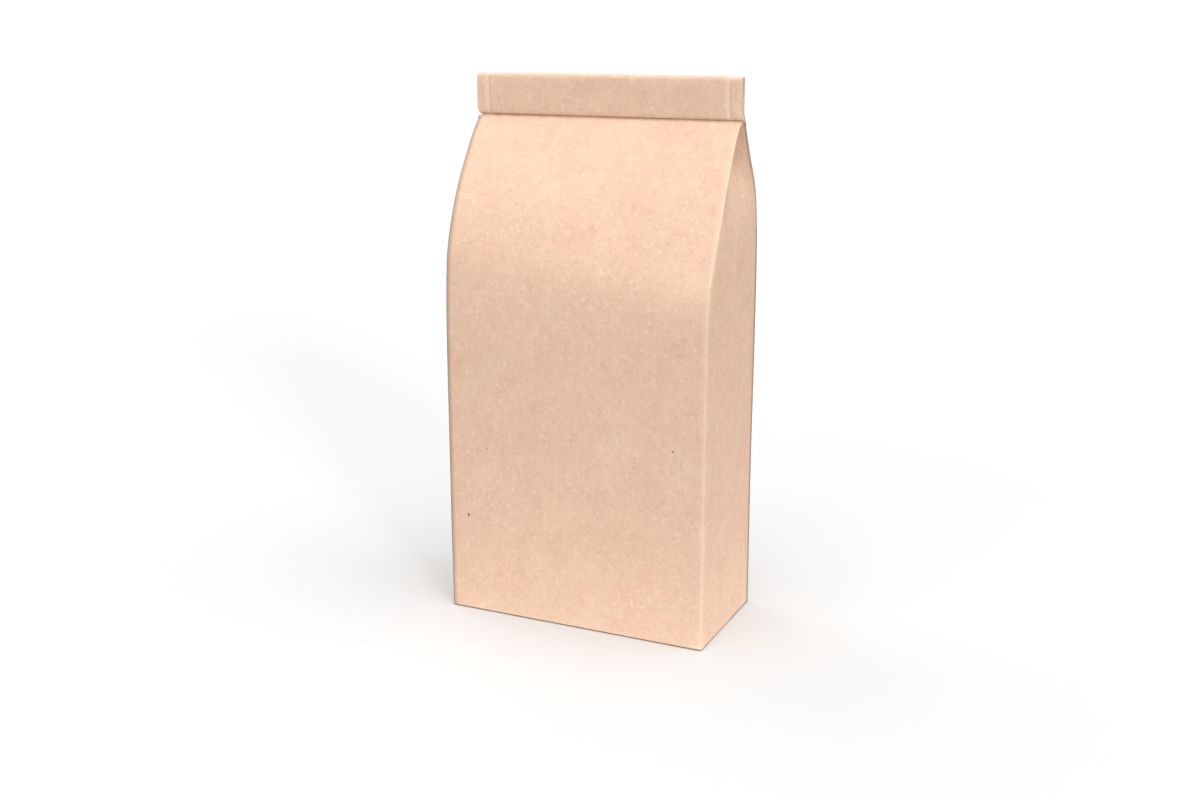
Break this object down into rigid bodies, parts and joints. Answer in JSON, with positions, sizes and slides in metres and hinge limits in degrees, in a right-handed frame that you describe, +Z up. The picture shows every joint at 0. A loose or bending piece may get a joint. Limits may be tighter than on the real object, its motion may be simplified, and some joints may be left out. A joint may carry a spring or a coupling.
{
  "type": "coffee bag",
  "caption": "Shut kraft paper coffee bag with a block bottom, gusseted sides and a folded-over top; stands upright on its bottom.",
  "frame": {"origin": "middle of the block bottom, on the surface that the bag stands on", "axes": "+Z up, -Y towards the front panel, X along the width of the bag"},
  "size_m": [0.11, 0.0566, 0.2117],
  "materials": {
    "kraft_paper": "matte natural kraft paper with fine fibres, soft mottling and a few dark specks"
  },
  "bodies": {
    "root": {"bag": "kraft_paper"}
  },
  "joints": []
}
